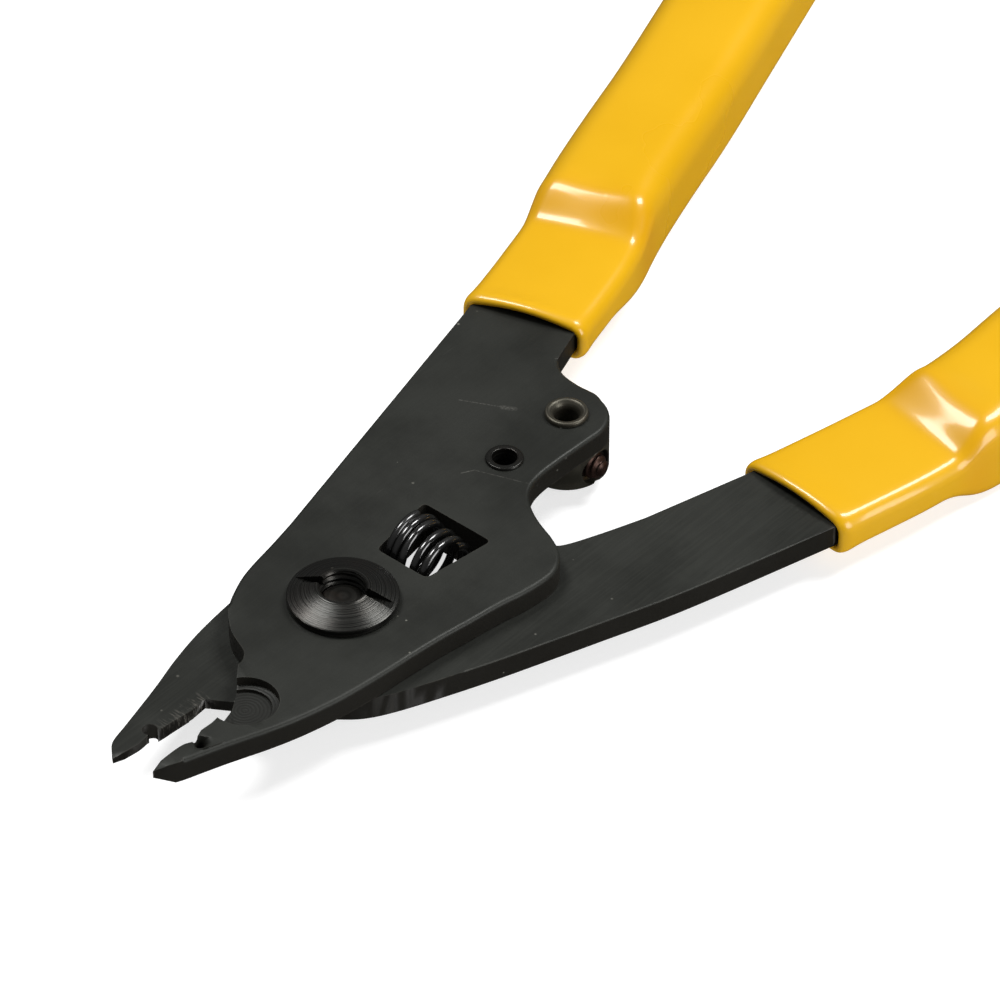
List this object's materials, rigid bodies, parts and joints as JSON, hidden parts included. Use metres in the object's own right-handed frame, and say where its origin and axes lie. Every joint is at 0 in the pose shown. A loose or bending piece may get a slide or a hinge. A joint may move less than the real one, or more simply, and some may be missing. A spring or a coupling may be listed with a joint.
{
  "type": "wire stripper",
  "caption": "Plier-type wire and fibre stripper with notched flat steel jaws, a screw pivot, an opening spring and vinyl grips.",
  "frame": {"origin": "pivot axis, on the flat back face of the pivot screw's head", "axes": "+Y from the jaws to the handles along the open tool's centre line, +Z along the pivot axis from the screw head to the nut"},
  "size_m": [0.0818, 0.1567, 0.0122],
  "materials": {
    "black_steel": "satin black oxide",
    "turned_steel": "turned and blackened",
    "brown_screw": "browned thread",
    "spring_wire": "glossy black",
    "yellow_vinyl": "glossy soft vinyl"
  },
  "bodies": {
    "front": {"front_half": "black_steel", "front_grip": "yellow_vinyl", "pivot_screw": "turned_steel", "pivot_nut": "turned_steel", "return_spring": "spring_wire", "stop_post": "turned_steel", "limit_pin": "turned_steel"},
    "rear": {"rear_half": "black_steel", "rear_grip": "yellow_vinyl"},
    "stop_screw": {"stop_screw": "brown_screw"}
  },
  "joints": [
    {"name": "handle_pivot", "type": "hinge", "parent": "front", "child": "rear", "pos_m": [0, 0, 0.004], "axis": [0, 0, 1], "range_deg": [0, 16], "stiffness_Nm_per_rad": 0.8, "springref_deg": -20.05, "deforming": ["return_spring"]},
    {"name": "stop_adjust", "type": "slide", "parent": "front", "child": "stop_screw", "axis": [-0.9998, 0.0174, 0], "range_m": [0, 0.0015]}
  ]
}
